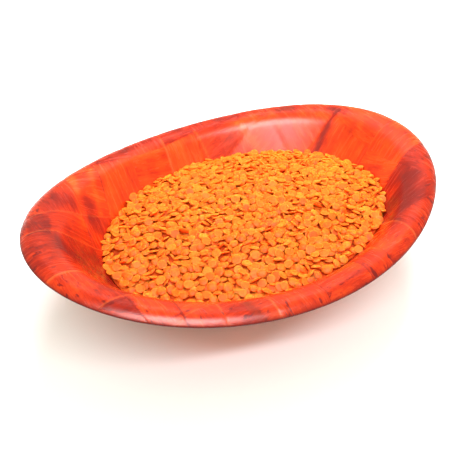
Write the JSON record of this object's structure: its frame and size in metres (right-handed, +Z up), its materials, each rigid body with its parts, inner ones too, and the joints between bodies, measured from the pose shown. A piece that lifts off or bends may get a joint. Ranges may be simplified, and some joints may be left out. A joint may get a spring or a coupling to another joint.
{
  "type": "bowl of dry lentils",
  "caption": "Oval bowl pressed from dyed woven wood strips, with a rolled lip and raised ends, holding a heap of dry split lentils.",
  "frame": {"origin": "on the table, under the middle of the bowl's flat foot", "axes": "+X along the bowl's long axis, +Z up, the bowl standing on its foot"},
  "size_m": [0.228, 0.1704, 0.0548],
  "materials": {
    "dyed_woven_wood": "red-orange dye under a gloss lacquer, over crossing wood strips whose grain and edges show",
    "split_lentils": "dry, satin orange split lentils, some paler and yellower"
  },
  "bodies": {
    "root": {"bowl": "dyed_woven_wood", "lentil_heap": "split_lentils"}
  },
  "joints": []
}
